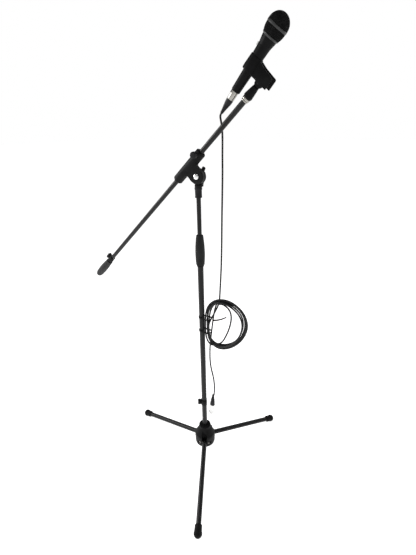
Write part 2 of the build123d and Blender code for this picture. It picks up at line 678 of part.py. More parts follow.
PARTS["sleeve_liner"] = sleeve_liner()
PARTS["pivot_bolt"] = pivot_bolt()
PARTS["tilt_wing"] = tilt_wing()
PARTS["clamp_knob"] = clamp_knob()
PARTS["boom_tube"] = boom_tube()
PARTS["counterweight"] = counterweight()
PARTS["boom_clip"] = BOOM * Pos(BOOM_CLIP_T, 0, 0) * ALONG_X * Rot(0, 0, 180) * cable_clip(BOOM_R)
PARTS["boom_tip"] = boom_tip()
PARTS["lock_ring"] = lock_ring()
PARTS["clip_stem"] = clip_stem()
PARTS["tilt_screw"] = tilt_screw()
PARTS["jaw_fixed"] = jaw_fixed()
PARTS["jaw_moving"] = jaw_moving()
PARTS["clip_pin"] = clip_pin()
PARTS["clip_spring"] = clip_spring()
PARTS["mic_handle"] = mic_handle()
PARTS["mic_switch"] = mic_switch()
PARTS["switch_body"] = switch_body()
PARTS["mic_neck_ring"] = mic_neck_ring()
PARTS["grille_lower"] = grille_lower()
PARTS["grille_band"] = grille_band()
PARTS["grille_dome"] = grille_dome()
PARTS["head_foam"] = head_foam()
PARTS["capsule_mount"] = capsule_mount()
PARTS["capsule_case"] = capsule_case()
PARTS["capsule_cover"] = capsule_cover()
PARTS["capsule_magnet"] = capsule_magnet()
PARTS["diaphragm"] = diaphragm()
PARTS["mic_insert"] = mic_insert()
PARTS["mic_pins"] = mic_pins()
PARTS["near_shell"] = near_shell()
PARTS["near_latch"] = near_latch()
PARTS["near_insert"] = near_insert()
PARTS["near_boot"] = near_boot()
PARTS["lead_drop"] = lead_drop()
PARTS["lead_coil"] = lead_coil()
PARTS["lead_tail"] = lead_tail()
PARTS["far_boot"] = far_boot()
PARTS["far_shell"] = far_shell()
PARTS["far_insert"] = far_insert()
PARTS["far_pins"] = far_pins()

for name, shape in PARTS.items():
    export_step(shape, f"parts/{name}.step")
print(len(PARTS), "nodes")
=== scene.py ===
"""Looks of the microphone on its boom stand, in metres with +Z up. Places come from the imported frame."""

import json
import math

import bmesh
import bpy
import numpy as np
from mathutils import Matrix, Vector


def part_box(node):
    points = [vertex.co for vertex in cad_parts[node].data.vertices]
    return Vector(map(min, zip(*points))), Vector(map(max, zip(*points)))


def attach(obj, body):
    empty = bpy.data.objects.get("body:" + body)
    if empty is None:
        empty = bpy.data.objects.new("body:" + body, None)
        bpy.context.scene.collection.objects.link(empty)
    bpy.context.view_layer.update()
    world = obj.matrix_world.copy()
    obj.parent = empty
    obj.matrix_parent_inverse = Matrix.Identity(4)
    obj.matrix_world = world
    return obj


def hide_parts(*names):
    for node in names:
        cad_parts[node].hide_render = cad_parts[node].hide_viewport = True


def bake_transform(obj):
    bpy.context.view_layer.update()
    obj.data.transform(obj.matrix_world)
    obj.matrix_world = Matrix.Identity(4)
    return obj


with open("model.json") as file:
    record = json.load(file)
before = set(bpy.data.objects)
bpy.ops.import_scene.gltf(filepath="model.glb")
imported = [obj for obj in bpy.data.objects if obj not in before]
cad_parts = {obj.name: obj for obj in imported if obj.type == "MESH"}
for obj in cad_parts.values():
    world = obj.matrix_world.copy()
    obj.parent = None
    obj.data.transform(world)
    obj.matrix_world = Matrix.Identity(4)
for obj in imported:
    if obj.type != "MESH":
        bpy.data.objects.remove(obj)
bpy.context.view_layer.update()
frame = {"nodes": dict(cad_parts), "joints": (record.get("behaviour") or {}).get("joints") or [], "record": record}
MM = 0.001
TURN = 2 * math.pi
JOINTS = {j["name"]: j for j in frame["joints"]}
BODY_OF = {n: b for b, ns in frame["record"]["behaviour"]["bodies"].items() for n in ns}

# ---- camera, floor and light ------------------------------------------------------

# the camera stands in front and to the right, at the height of the boom, and looks a little down
EYE = (0.5418772, -0.8540190, 1.2868701)
EYE_RIGHT = Vector((0.86123838, 0.50796142, -0.01560918))
EYE_UP = Vector((-0.20001138, 0.36703114, 0.9084512))
LENS, SENSOR = 21.549, 36.0
SHIFT = 0.5 / 555
FLOOR_HALF = 30.0
FLOOR_GLOW = 0.9


def make_camera():
    data = bpy.data.cameras.new("camera")
    data.sensor_fit, data.sensor_width, data.lens = "AUTO", SENSOR, LENS
    data.clip_start, data.clip_end = 0.01, 50
    data.shift_x, data.shift_y = -SHIFT, SHIFT
    camera = bpy.data.objects.new("camera", data)
    turn = Matrix((EYE_RIGHT, EYE_UP, EYE_RIGHT.cross(EYE_UP))).transposed()
    camera.matrix_world = Matrix.Translation(EYE) @ turn.to_4x4()
    bpy.context.scene.collection.objects.link(camera)
    bpy.context.scene.camera = camera


def area_light(name, place, target, size, power):
    data = bpy.data.lights.new(name, "AREA")
    data.shape, data.size, data.energy = "DISK", size, power
    light = bpy.data.objects.new(name, data)
    light.location = place
    light.rotation_euler = (Vector(target) - Vector(place)).to_track_quat("-Z", "Y").to_euler()
    bpy.context.scene.collection.objects.link(light)


def make_world():
    """White round the horizon and below, and dark overhead, so that glossy black parts stay black."""
    world = bpy.data.worlds.new("studio")
    world.use_nodes = True
    nodes, links = world.node_tree.nodes, world.node_tree.links
    coords = nodes.new("ShaderNodeTexCoord")
    split = nodes.new("ShaderNodeSeparateXYZ")
    ramp = nodes.new("ShaderNodeValToRGB")
    ramp.color_ramp.elements[0].position, ramp.color_ramp.elements[1].position = 0.28, 0.42
    ramp.color_ramp.elements[0].color = (1, 1, 1, 1)
    ramp.color_ramp.elements[1].color = (0.04, 0.04, 0.042, 1)
    links.new(coords.outputs["Generated"], split.inputs["Vector"])
    links.new(split.outputs["Z"], ramp.inputs["Fac"])
    links.new(ramp.outputs["Color"], nodes["Background"].inputs["Color"])
    nodes["Background"].inputs["Strength"].default_value = 1.0
    bpy.context.scene.world = world
    bpy.context.scene.view_settings.view_transform = "Standard"


def make_floor():
    mesh = bpy.data.meshes.new("floor")
    s = FLOOR_HALF
    mesh.from_pydata([(-s, -s, 0), (s, -s, 0), (s, s, 0), (-s, s, 0)], [], [(0, 1, 2, 3)])
    floor = bpy.data.objects.new("floor", mesh)
    bpy.context.scene.collection.objects.link(floor)
    material = bpy.data.materials.new("pale_floor")
    material.use_nodes = True
    shader = material.node_tree.nodes["Principled BSDF"]
    shader.inputs["Base Color"].default_value = (0.92, 0.92, 0.92, 1)
    shader.inputs["Roughness"].default_value = 0.9
    shader.inputs["Emission Color"].default_value = (1, 1, 1, 1)
    shader.inputs["Emission Strength"].default_value = FLOOR_GLOW
    mesh.materials.append(material)


def make_lights():
    area_light("key", (-2.4, -0.9, 1.9), (0, 0, 0.8), 1.2, 46)
    area_light("top", (0.3, -0.5, 3.2), (0, 0, 0.6), 1.5, 22)
    area_light("rim", (1.4, 2.2, 2.2), (0, 0, 1.0), 1.0, 16)


make_camera()
make_world()
make_floor()
make_lights()

# ---- materials ---------------------------------------------------------------------


def new_material(name):
    material = bpy.data.materials.new(name)
    material.use_nodes = True
    tree = material.node_tree
    return material, tree, tree.nodes["Principled BSDF"]


def noise(tree, scale, detail=4.0, roughness=0.55, stretch=None):
    coords = tree.nodes.new("ShaderNodeTexCoord")
    node = tree.nodes.new("ShaderNodeTexNoise")
    node.inputs["Scale"].default_value = scale
    node.inputs["Detail"].default_value = detail
    node.inputs["Roughness"].default_value = roughness
    if stretch:
        mapping = tree.nodes.new("ShaderNodeMapping")
        mapping.inputs["Scale"].default_value = stretch
        tree.links.new(coords.outputs["Object"], mapping.inputs["Vector"])
        tree.links.new(mapping.outputs["Vector"], node.inputs["Vector"])
    else:
        tree.links.new(coords.outputs["Object"], node.inputs["Vector"])
    return node.outputs["Fac"]


def spread(tree, value, low, high):
    """Maps a noise value to low...high."""
    node = tree.nodes.new("ShaderNodeMapRange")
    node.inputs["From Min"].default_value = 0.3
    node.inputs["From Max"].default_value = 0.7
    node.inputs["To Min"].default_value = low
    node.inputs["To Max"].default_value = high
    tree.links.new(value, node.inputs["Value"])
    return node.outputs["Result"]


def two_tone(tree, value, dark, light, low=0.3, high=0.7):
    ramp = tree.nodes.new("ShaderNodeValToRGB")
    ramp.color_ramp.elements[0].position, ramp.color_ramp.elements[1].position = low, high
    ramp.color_ramp.elements[0].color = (*dark, 1)
    ramp.color_ramp.elements[1].color = (*light, 1)
    tree.links.new(value, ramp.inputs["Fac"])
    return ramp.outputs["Color"]


def bump(tree, shader, value, depth, strength=1.0):
    node = tree.nodes.new("ShaderNodeBump")
    node.inputs["Strength"].default_value = strength
    node.inputs["Distance"].default_value = depth
    tree.links.new(value, node.inputs["Height"])
    tree.links.new(node.outputs["Normal"], shader.inputs["Normal"])


def surface(name, colour, vary=0.25, rough=(0.4, 0.5), grain=900, depth=0.00006, metallic=0.0,
            specular=0.5, stretch=None, patch=35):
    """Coloured surface with broad tone changes, a fine grain in its gloss, and a bump at grain size."""
    material, tree, shader = new_material(name)
    broad = noise(tree, patch, 5)
    dark = [c * (1 - vary) for c in colour]
    light = [min(1, c * (1 + vary) + 0.002) for c in colour]
    tree.links.new(two_tone(tree, broad, dark, light), shader.inputs["Base Color"])
    fine = noise(tree, grain, 3, stretch=stretch)
    tree.links.new(spread(tree, fine, *rough), shader.inputs["Roughness"])
    bump(tree, shader, fine, depth)
    shader.inputs["Metallic"].default_value = metallic
    shader.inputs["Specular IOR Level"].default_value = specular
    return material


def weave(name, colour, pitch):
    """Woven strap: crossed waves for warp and weft."""
    material, tree, shader = new_material(name)
    coords = tree.nodes.new("ShaderNodeTexCoord")
    waves = []
    for direction in ("X", "Z"):
        wave = tree.nodes.new("ShaderNodeTexWave")
        wave.bands_direction = direction
        wave.inputs["Scale"].default_value = 1 / pitch / 3.2
        wave.inputs["Distortion"].default_value = 0.4
        tree.links.new(coords.outputs["Object"], wave.inputs["Vector"])
        waves.append(wave.outputs["Fac"])
    mix = tree.nodes.new("ShaderNodeMath")
    mix.operation = "MAXIMUM"
    tree.links.new(waves[0], mix.inputs[0])
    tree.links.new(waves[1], mix.inputs[1])
    dark, light = [c * 0.5 for c in colour], [c * 1.6 for c in colour]
    tree.links.new(two_tone(tree, mix.outputs[0], dark, light, 0.2, 0.9), shader.inputs["Base Color"])
    bump(tree, shader, mix.outputs[0], 0.0003)
    shader.inputs["Roughness"].default_value = 0.85
    shader.inputs["Specular IOR Level"].default_value = 0.1
    return material


LOOKS = {
    "black_tube": dict(colour=(0.006, 0.006, 0.0062), rough=(0.3, 0.4), grain=1400, depth=0.00003,
                       patch=14, specular=0.22),
    "black_cast": dict(colour=(0.0045, 0.0045, 0.0047), rough=(0.45, 0.6), grain=1600,
                       depth=0.00008, specular=0.1),
    "black_plastic": dict(colour=(0.0045, 0.0045, 0.0048), rough=(0.42, 0.55), grain=1200,
                          depth=0.00005, specular=0.1),
    "clip_plastic": dict(colour=(0.0032, 0.0032, 0.0034), rough=(0.4, 0.5), grain=1100,
                         depth=0.00005, specular=0.07),
    "foot_rubber": dict(colour=(0.006, 0.006, 0.006), rough=(0.55, 0.72), grain=700, depth=0.00008,
                        vary=0.35, specular=0.12),
    "grip_rubber": dict(colour=(0.010, 0.0104, 0.0108), rough=(0.5, 0.65), grain=1500,
                        depth=0.00004, vary=0.3, specular=0.16),
    "weight_rubber": dict(colour=(0.020, 0.0204, 0.021), rough=(0.5, 0.65), grain=1500,
                          depth=0.00004, vary=0.3, specular=0.22),
    "boot_rubber": dict(colour=(0.009, 0.009, 0.011), rough=(0.45, 0.6), grain=900, depth=0.00004,
                        specular=0.2),
    "lead_jacket": dict(colour=(0.006, 0.0063, 0.0068), rough=(0.36, 0.5), grain=600,
                        depth=0.00004, vary=0.3, specular=0.2),
    "handle_paint": dict(colour=(0.0032, 0.0032, 0.0034), rough=(0.38, 0.5), grain=2600,
                         depth=0.00004, specular=0.07),
    "ring_paint": dict(colour=(0.024, 0.024, 0.024), rough=(0.34, 0.45), grain=1800, depth=0.00003,
                       specular=0.3),
    "grille_paint": dict(colour=(0.0045, 0.0045, 0.0045), rough=(0.4, 0.55), grain=1800,
                         depth=0.00002, specular=0.1),
    "shade_plastic": dict(colour=(0.008, 0.008, 0.009), rough=(0.42, 0.55), grain=1100,
                          depth=0.00005, specular=0.15),
    "insert_plastic": dict(colour=(0.008, 0.008, 0.008), rough=(0.25, 0.35), specular=0.4),
    "nickel": dict(colour=(0.33, 0.32, 0.295), vary=0.07, rough=(0.16, 0.3), grain=420,
                   depth=0.00001, metallic=1.0, patch=60),
    # nickel painted much lighter than the plain nickel: a painted highlight on the pivot bolt's cap and the far
    # connector's shell
    "nickel_painted_highlight": dict(colour=(0.74, 0.74, 0.73), vary=0.03, rough=(0.3, 0.4), grain=420,
                          depth=0.00001, metallic=1.0),
    "brushed": dict(colour=(0.42, 0.42, 0.43), vary=0.1, rough=(0.25, 0.4), grain=500,
                    depth=0.00001, metallic=1.0, stretch=(1, 1, 12)),
    "pin_metal": dict(colour=(0.72, 0.58, 0.32), vary=0.08, rough=(0.18, 0.3), metallic=1.0,
                      depth=0.00001),
    "magnet": dict(colour=(0.3, 0.3, 0.31), vary=0.15, rough=(0.35, 0.5), metallic=1.0),
    "film": dict(colour=(0.65, 0.52, 0.3), vary=0.1, rough=(0.15, 0.25)),
    "foam": dict(colour=(0.003, 0.003, 0.003), rough=(0.9, 1.0), grain=900, depth=0.0005, vary=0.5,
                 specular=0.1),
    "switch_white": dict(colour=(0.80, 0.80, 0.78), vary=0.04, rough=(0.25, 0.35), grain=900,
                         depth=0.00002),
    "tie_wire": dict(colour=(0.35, 0.33, 0.31), rough=(0.4, 0.5)),
}
M = {name: surface(name, **look) for name, look in LOOKS.items()}
WEAVE_PITCH = 0.0011
M["strap"] = weave("strap", (0.006, 0.006, 0.006), WEAVE_PITCH)
M["strap_end"] = weave("strap_end", (0.016, 0.011, 0.010), WEAVE_PITCH)

# ---- places --------------------------------------------------------------------------


def centre(node):
    low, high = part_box(node)
    return (low + high) / 2


def along(origin, direction):
    """Frame whose X runs along direction, Y stays the row's Y, and Z is square to both."""
    x, y = Vector(direction).normalized(), Vector((0, 1, 0))
    place = Matrix((x, y, x.cross(y))).transposed().to_4x4()
    place.translation = origin
    return place


def reach(node, place):
    """Lowest and highest corner of a CAD node in a local frame."""
    back = place.inverted()
    points = np.array([back @ v.co for v in frame["nodes"][node].data.vertices])
    return points.min(0), points.max(0)


# local frames: the boom's starts BOOM_REAR ahead of the tube's rear end, and the microphone's at its rear end
BOOM_REAR = 0.630
BOOM = along(centre("boom_tube"), JOINTS["boom_slide"]["axis"])
BOOM.translation = BOOM @ Vector((reach("boom_tube", BOOM)[0][0] + BOOM_REAR, 0, 0))
MIC = along(centre("grille_band"), JOINTS["mic_slide"]["axis"])
MIC.translation = MIC @ Vector((reach("mic_handle", MIC)[0][0], 0, 0))

# ---- mesh makers ------------------------------------------------------------------------


def shaded(name, mesh, material, smooth):
    """An object of one material, with edges over smooth degrees kept sharp."""
    mesh.materials.clear()
    mesh.materials.append(material)
    mesh.polygons.foreach_set("use_smooth", [True] * len(mesh.polygons))
    mesh.set_sharp_from_angle(angle=math.radians(smooth))
    piece = bpy.data.objects.new(name, mesh)
    bpy.context.scene.collection.objects.link(piece)
    return piece


def finish_mesh(name, mesh, material, body, smooth=40):
    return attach(shaded(name, mesh, material, smooth), body)


def mesh_of(name, points, faces):
    mesh = bpy.data.meshes.new(name)
    mesh.from_pydata([tuple(p) for p in points], [], faces)
    mesh.update()
    return mesh


def join_doubles(mesh, distance=1e-6):
    work = bmesh.new()
    work.from_mesh(mesh)
    bmesh.ops.remove_doubles(work, verts=work.verts, dist=distance)
    bmesh.ops.recalc_face_normals(work, faces=work.faces)
    work.to_mesh(mesh)
    work.free()


def lathe(name, place, profile, material, body, steps=72, closed=False, smooth=40, shape=None):
    """Solid of revolution about the local X from (along, radius) points.

    shape(angle, along, radius) may change the radius.
    """
    points, faces = [], []
    for x, r in profile:
        for k in range(steps):
            a = TURN * k / steps
            q = shape(a, x, r) if shape else r
            points.append(place @ Vector((x, q * math.cos(a), q * math.sin(a))))
    rows = len(profile)
    for i in range(rows if closed else rows - 1):
        for k in range(steps):
            a, b = i * steps, (i + 1) % rows * steps
            n = (k + 1) % steps
            faces.append((a + k, a + n, b + n, b + k))
    mesh = mesh_of(name, points, faces)
    join_doubles(mesh)
    return finish_mesh(name, mesh, material, body, smooth)


def curve_points(points, count):
    """Points of a smooth curve through a few (along, radius) points."""
    points = np.array(points, float)
    t = np.r_[0, np.cumsum(np.hypot(*np.diff(points, axis=0).T))]
    slope = np.gradient(points, t, axis=0)
    out = []
    for s in np.linspace(0, t[-1], count):
        i = min(np.searchsorted(t, s, side="right") - 1, len(t) - 2)
        h = t[i + 1] - t[i]
        u = (s - t[i]) / h
        out.append((2 * u**3 - 3 * u**2 + 1) * points[i] + (u**3 - 2 * u**2 + u) * h * slope[i]
                   + (3 * u**2 - 2 * u**3) * points[i + 1] + (u**3 - u**2) * h * slope[i + 1])
    return [tuple(p) for p in out]


def evaluated_mesh(draft):
    return bpy.data.meshes.new_from_object(draft.evaluated_get(bpy.context.evaluated_depsgraph_get()))


def rounded(node, width, material):
    """A copy of a CAD node with its sharp edges rounded off."""
    mesh = frame["nodes"][node].data.copy()
    join_doubles(mesh, 2e-6)
    work = bmesh.new()
    work.from_mesh(mesh)
    bmesh.ops.dissolve_limit(work, angle_limit=math.radians(0.6), verts=work.verts, edges=work.edges)
    work.to_mesh(mesh)
    work.free()
    draft = bpy.data.objects.new("draft", mesh)
    bpy.context.scene.collection.objects.link(draft)
    bevel = draft.modifiers.new("edge", "BEVEL")
    bevel.width, bevel.segments = width, 2
    bevel.limit_method, bevel.angle_limit = "ANGLE", math.radians(38)
    bevel.use_clamp_overlap, bevel.harden_normals = True, False
    shown = evaluated_mesh(draft)
    bpy.data.objects.remove(draft)
    piece = finish_mesh(node + "_shaped", shown, material, BODY_OF[node], 50)
    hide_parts(node)
    return piece


def strands(name, paths, radius, material, body, sides=5):
    """Thin round wires. Each path is a list of (point, normal)."""
    points, faces = [], []
    for path in paths:
        line = np.array([p for p, _ in path])
        normal = np.array([n for _, n in path])
        tangent = np.gradient(line, axis=0)
        tangent /= np.linalg.norm(tangent, axis=1)[:, None]
        side = np.cross(tangent, normal)
        side /= np.linalg.norm(side, axis=1)[:, None]
        normal = np.cross(side, tangent)
        base = len(points)
        for k in range(sides):
            a = TURN * k / sides
            points.extend(line + radius * (math.cos(a) * normal + math.sin(a) * side))
        n = len(line)
        for k in range(sides):
            m = (k + 1) % sides
            a, b = base + k * n, base + m * n
            faces.extend((a + i, a + i + 1, b + i + 1, b + i) for i in range(n - 1))
    return finish_mesh(name, mesh_of(name, points, faces), material, body, 60)


# ---- lead: one line from the microphone's boot to the free connector ---------------------

LEAD_R, LEAD_D = 0.00275, 0.0055
BOOT_END = 0.062
START = MIC @ Vector((-BOOT_END, 0, 0))
# chosen points in mm: from the microphone's boot down to the coil, and on to the free connector
DROP = ((75.4, 0, 1312.1), (73.6, 1.5, 1306.3), (73.6, 6, 1296), (73.8, 12.5, 1277), (72.4, 17, 1248),
        (71.2, 18.5, 1212), (71, 20, 1160), (71, 18.5, 1098), (71.6, 15, 1026), (73.4, 11, 952),
        (73, 9.5, 884), (71.6, 6.5, 822), (70.6, 3, 772), (70, 1, 740))
TAIL = ((36, -6, 577), (33.4, -5, 536), (32.4, -3.5, 494), (36.4, -2, 455), (45.6, -2, 420),
        (49.6, -2, 383), (48.8, -2, 352), (46.8, -2, 331))
# outer and inner edge of the coil, as (x, z) in mm
RING_OUT = ((19, 713), (13.2, 648), (19, 576), (60, 550), (112, 573), (158, 624), (177, 686),
            (156, 738), (106, 764), (53, 753))
RING_IN = ((40, 709), (32, 650), (37, 603), (60, 584), (104, 595), (134, 624), (150, 678),
           (139, 718), (104, 737), (66, 738))
# where each turn lies in the bundle at its start: share from inner to outer edge, and mm across
SLOTS = ((0.30, 3.0), (0.80, 5.8), (0.34, 8.0), (0.62, 2.6), (0.92, -1.6), (0.36, -2.8), (0.55, -8.0))
PER_TURN = 20
# the turn that is drawn in across the opening, from the bundle's foot up to its top
DRAWN_IN = ((56, 577), (75, 584), (88, 602), (99, 627), (108, 652), (114, 676), (117, 699),
            (115.5, 718), (109, 732), (98, 741), (84, 746), (70, 742))
DRAWN_AT = 4.30
# the turns spread on the side away from the column, which is this part of a turn
FAR_SIDE = (0.28, 0.90)


def ring_point(share, turn):
    """Point of the coil's oval at a fraction of a turn from the upper left, through the rows' points."""
    rows = [np.array(a, float) * (1 - share) + np.array(b, float) * share for a, b in zip(RING_IN, RING_OUT)]
    at = turn % 1 * len(rows)
    i, u = int(at), at % 1
    p = [rows[(i + k) % len(rows)] for k in (-1, 0, 1, 2)]
    return 0.5 * (2 * p[1] + (p[2] - p[0]) * u + (2 * p[0] - 5 * p[1] + 4 * p[2] - p[3]) * u * u
                  + (3 * p[1] - p[0] - 3 * p[2] + p[3]) * u ** 3)


def coil_points():
    """The coil's turns. Each wanders a little in the bundle, and keeps its own place on the far side."""
    points = []
    begin, end = FAR_SIDE
    for k in range(2, (len(SLOTS) - 1) * PER_TURN - 1):
        turn = k / PER_TURN
        n, u = int(turn), turn % 1
        share, across = [SLOTS[n][i] * (1 - u) + SLOTS[n + 1][i] * u for i in (0, 1)]
        far = math.sin(math.pi * (u - begin) / (end - begin)) if begin < u < end else 0.0
        share += 0.08 * (1 - far) * math.sin(2.3 * TURN * turn + n) + 0.2 * far * math.sin(n * 2.4)
        x, z = ring_point(share, turn)
        drawn = round((turn - DRAWN_AT) * PER_TURN)
        if 0 <= drawn < len(DRAWN_IN):
            x, z = DRAWN_IN[drawn]
        points.append((x, across + 0.5 * math.sin(3.1 * TURN * turn), z))
    return points


def lead_line():
    """The sampled line of the whole lead, in metres."""
    points = [tuple(START)]
    points += [tuple(c * MM for c in p) for p in (*DROP, *coil_points(), *TAIL)]
    data = bpy.data.curves.new("lead_line", "CURVE")
    data.dimensions, data.resolution_u = "3D", 10
    spline = data.splines.new("NURBS")
    spline.points.add(len(points) - 1)
    for place, p in zip(spline.points, points):
        place.co = (*p, 1)
    spline.order_u = 3
    spline.use_endpoint_u = True
    draft = bpy.data.objects.new("lead_line", data)
    bpy.context.scene.collection.objects.link(draft)
    bpy.context.view_layer.update()
    mesh = evaluated_mesh(draft)
    line = np.array([v.co for v in mesh.vertices], float)
    bpy.data.objects.remove(draft)
    step = np.linalg.norm(np.diff(line, axis=0), axis=1)
    return line[np.r_[True, step > 1e-7]]


def even(line, gap):
    """The line again with its points about gap apart, and each point's distance from the start."""
    t = np.r_[0, np.cumsum(np.linalg.norm(np.diff(line, axis=0), axis=1))]
    s = np.linspace(0, t[-1], int(t[-1] / gap) + 1)
    return np.stack([np.interp(s, t, line[:, i]) for i in range(3)], axis=1), s


def side_vectors(line):
    """A side direction at each point that doesn't twist from one to the next."""
    tangent = np.gradient(line, axis=0)
    tangent /= np.linalg.norm(tangent, axis=1)[:, None]
    side = np.cross(tangent[0], (0, 1, 0))
    out = []
    for t in tangent:
        side = side - t * (side @ t)
        side = side / np.linalg.norm(side)
        out.append(side)
    return tangent, np.array(out)


def hose(name, line, tangent, side, radius, material, sides=14):
    """Tube round a line, closed at its ends."""
    other = np.cross(tangent, side)
    angles = [TURN * k / sides for k in range(sides)]
    points = [line + radius * (math.cos(a) * side + math.sin(a) * other) for a in angles]
    n = len(line)
    faces = [(k * n + i, k * n + i + 1, (k + 1) % sides * n + i + 1, (k + 1) % sides * n + i)
             for k in range(sides) for i in range(n - 1)]
    faces += [tuple(k * n for k in range(sides)), tuple(k * n + n - 1 for k in reversed(range(sides)))]
    piece = shaded(name, mesh_of(name, np.concatenate(points), faces), material, 60)
    return piece


LEAD, LEAD_S = even(lead_line(), 0.0022)
LEAD_T, LEAD_N = side_vectors(LEAD)
# the drop in stretches, each between a lower and an upper body:
# (end in metres from the boot, lower body, upper body)
STRETCHES = ((0.055, "clip", "microphone"), (0.115, "boom", "clip"), (0.240, "holder", "boom"),
             (0.420, "swivel", "holder"), (0.500, "riser", "swivel"), (0.579, "stand", "riser"))



def make_lead():
    begin = 0
    for i, (end, lower, upper) in enumerate(STRETCHES, 1):
        stop = int(np.searchsorted(LEAD_S, end))
        part = slice(begin, stop + 1)
        piece = hose(f"lead_drop_{i}", LEAD[part], LEAD_T[part], LEAD_N[part], LEAD_R, M["lead_jacket"])
        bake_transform(piece)
        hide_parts("lead_drop")
        begin = stop
    part = slice(begin, len(LEAD))
    piece = hose("lead_coiled", LEAD[part], LEAD_T[part], LEAD_N[part], LEAD_R, M["lead_jacket"], sides=12)
    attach(piece, "stand")
    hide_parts("lead_coil", "lead_tail")
    print("lead", round(LEAD_S[-1], 3), "m, drop", STRETCHES[-1][0])


# ---- connectors -------------------------------------------------------------------------


BOOT_RADII = ((0.0, 3.8), (0.06, 4.2), (0.26, 5.4), (0.64, 8.0), (0.88, 9.1), (1.0, 9.2))
BOOT_RIBS, RIB_PITCH, RIB_DEPTH = (0.10, 0.66), 0.08, 0.0007


def boot_profile(node, place):
    """Outline of a ribbed strain relief over its CAD node: slim at the lead, thick at the shell."""
    low, high = reach(node, place)
    long = high[0] - low[0]
    first, last = BOOT_RIBS
    rows = [(0.0, LEAD_R * 1.02)]
    for x, r in curve_points([(share * long, r * MM) for share, r in BOOT_RADII], 120):
        share = x / long
        if first < share < last:
            r -= RIB_DEPTH * max(0.0, math.sin(TURN * (share - first) / RIB_PITCH)) ** 0.5
        rows.append((x, r))
    rows.append((long, LEAD_R * 1.02))
    return [(low[0] + x, r) for x, r in rows]


def make_boot(node, place, body):
    piece = lathe(node + "_ribbed", place, boot_profile(node, place), M["boot_rubber"], body)
    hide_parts(node)
    return piece


make_boot("near_boot", MIC, "microphone")
FAR = along(centre("far_boot"), (centre("far_shell") - centre("far_boot")).normalized())
far_boot_piece = make_boot("far_boot", FAR, "stand")
make_lead()

# ---- finishes of the CAD parts that show as they are ---------------------------------------

KEEP = {
    "black_tube": ("leg_1", "leg_2", "leg_3", "outer_tube", "riser_tube", "boom_tube"),
    "black_plastic": ("clutch_base", "clutch_collet", "riser_bush", "sleeve_liner"),
    "handle_paint": ("mic_handle",),
    "insert_plastic": ("switch_body", "mic_insert", "near_insert", "far_insert"),
    "pin_metal": ("mic_pins", "far_pins"),
    "foam": ("head_foam",),
    "boot_rubber": ("capsule_mount",),
    "magnet": ("capsule_magnet",),
    "film": ("diaphragm",),
}
for look, nodes in KEEP.items():
    for node in nodes:
        mesh = frame["nodes"][node].data
        mesh.materials.clear()
        mesh.materials.append(M[look])

# ---- CAD parts with their edges rounded off -------------------------------------------------

# (node, width of the rounding, look here, slot)
ROUNDED = (
    ("hub", 0.0009, "black_cast", "black_cast"),
    ("leg_rivets", 0.0003, "nickel", "nickel"),
    ("foot_1", 0.0006, "foot_rubber", "foot_rubber"),
    ("foot_2", 0.0006, "foot_rubber", "foot_rubber"),
    ("foot_3", 0.0006, "foot_rubber", "foot_rubber"),
    ("column_clip", 0.0005, "black_plastic", "black_plastic"),
    ("boom_clip", 0.0005, "black_plastic", "black_plastic"),
    ("riser_socket", 0.0005, "shade_plastic", "grey_plastic"),
    ("yoke", 0.0009, "black_cast", "black_cast"),
    ("boom_block", 0.0010, "black_cast", "black_cast"),
    # the bolt cap's nickel is painted lighter, as a painted highlight
    ("pivot_bolt", 0.0004, "nickel_painted_highlight", "nickel"),
    ("tilt_wing", 0.0009, "black_plastic", "black_plastic"),
    ("clamp_knob", 0.0006, "shade_plastic", "grey_plastic"),
    ("lock_ring", 0.0002, "nickel", "nickel"),
    ("clip_stem", 0.0005, "clip_plastic", "clip_plastic"),
    ("tilt_screw", 0.0003, "black_plastic", "nickel"),
    ("jaw_fixed", 0.0006, "clip_plastic", "clip_plastic"),
    ("jaw_moving", 0.0006, "clip_plastic", "clip_plastic"),
    ("clip_pin", 0.0003, "brushed", "spring_steel"),
    ("mic_switch", 0.0003, "switch_white", "switch_white"),
    ("mic_neck_ring", 0.0003, "ring_paint", "ring_paint"),
    ("grille_band", 0.0003, "ring_paint", "ring_paint"),
    ("capsule_case", 0.0003, "brushed", "capsule_metal"),
    ("capsule_cover", 0.0002, "brushed", "capsule_metal"),
    ("near_shell", 0.0003, "nickel", "nickel"),
    ("near_latch", 0.0003, "black_plastic", "black_plastic"),
    # the far shell's nickel is painted lighter, as a painted highlight
    ("far_shell", 0.0003, "nickel_painted_highlight", "nickel"),
)
for node, width, look, slot in ROUNDED:
    rounded(node, width, M[look])


# ---- parts with surface detail that the CAD leaves out ---------------------------------------


def detail(node, piece, slot):
    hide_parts(node)
    return piece


def in_metres(points):
    return [(x * MM, r * MM) for x, r in points]


def knurl(count, pitch, depth, low, high):
    """Raised diamonds between two places along a lathe's axis."""
    def shape(angle, x, r):
        ease = min(1.0, max(0.0, (x - low) / 0.004), max(0.0, (high - x) / 0.004))
        wave = math.cos(count * angle) * math.cos(TURN * x / pitch)
        return r + depth * ease * max(-0.6, min(0.6, wave * 1.6))
    return shape


# (height, radius) of the nut's barrel in mm above its foot
GRIP_BARREL = ((1.8, 14.2), (20, 15.1), (40, 15.5), (56, 15.1), (68, 14.4), (84, 12.9), (98, 11.6))
GRIP_FOOT = [(0, 0.0127), (0, 0.0134), (0.0006, 0.0139)]
GRIP_MOUTH = (0.0993, 0.0108)
GRIP_BORE = [(0.09, 0.0073), (0.066, 0.0116), (0.064, 0.0127)]


